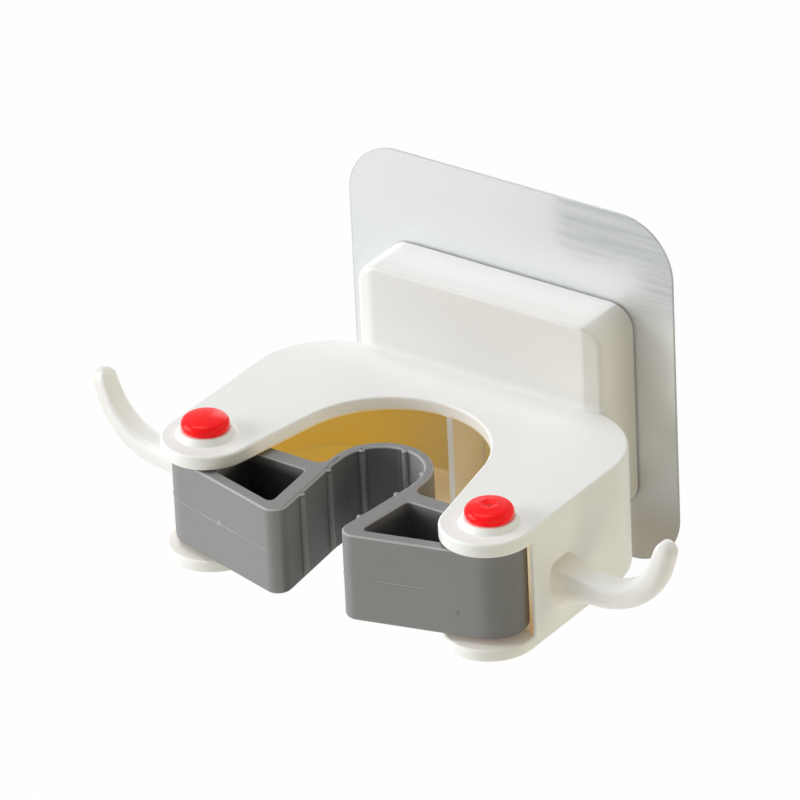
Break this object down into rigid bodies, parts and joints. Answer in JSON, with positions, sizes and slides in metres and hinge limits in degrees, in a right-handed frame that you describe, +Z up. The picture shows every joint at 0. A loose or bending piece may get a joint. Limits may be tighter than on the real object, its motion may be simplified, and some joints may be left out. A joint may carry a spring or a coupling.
{
  "type": "wall mop holder rack",
  "caption": "Stick-on wall rack with a white body, side hooks and a soft grey clamp whose pocketed jaws turn on red pins to grip a mop handle.",
  "frame": {"origin": "middle of the stick-on sheet, on the wall", "axes": "+Y into the wall, +Z up, +X to the right as seen by a person facing the wall"},
  "size_m": [0.1614, 0.0836, 0.09],
  "materials": {
    "clear_glue": "clear tacky glue",
    "film": "silvery film with fine brushed streaks",
    "bond_foam": "dull foam",
    "white_abs": "satin moulded white",
    "red_plastic": "glossy moulded red",
    "grey_rubber": "matt moulded soft rubber"
  },
  "bodies": {
    "root": {"glue_layer": "clear_glue", "adhesive_sheet": "film", "bond_pad": "bond_foam", "rack_body": "white_abs", "left_hook": "white_abs", "right_hook": "white_abs", "left_pin": "red_plastic", "right_pin": "red_plastic"},
    "left_jaw": {"left_jaw": "grey_rubber"},
    "right_jaw": {"right_jaw": "grey_rubber"},
    "left_web": {"left_web": "grey_rubber"},
    "right_web": {"right_web": "grey_rubber"}
  },
  "joints": [
    {"name": "left_jaw_pivot", "type": "hinge", "parent": "root", "child": "left_jaw", "pos_m": [-0.0393, -0.0678, -0.0151], "axis": [0, 0, 1], "range_deg": [-15, 15], "stiffness_Nm_per_rad": 0.15},
    {"name": "right_jaw_pivot", "type": "hinge", "parent": "root", "child": "right_jaw", "pos_m": [0.0393, -0.0678, -0.0151], "axis": [0, 0, 1], "range_deg": [-15, 15], "stiffness_Nm_per_rad": 0.15},
    {"name": "left_web_flex", "type": "hinge", "parent": "left_jaw", "child": "left_web", "pos_m": [-0.01135, -0.0678, -0.0151], "axis": [0, 0, 1], "range_deg": [-15, 15]},
    {"name": "right_web_flex", "type": "hinge", "parent": "right_jaw", "child": "right_web", "pos_m": [0.01135, -0.0678, -0.0151], "axis": [0, 0, 1], "range_deg": [-15, 15]}
  ],
  "couplings": [
    {"joint": "right_jaw_pivot", "follows": "left_jaw_pivot", "ratio": -1},
    {"joint": "left_web_flex", "follows": "left_jaw_pivot", "ratio": -1},
    {"joint": "right_web_flex", "follows": "left_jaw_pivot", "ratio": 1}
  ]
}
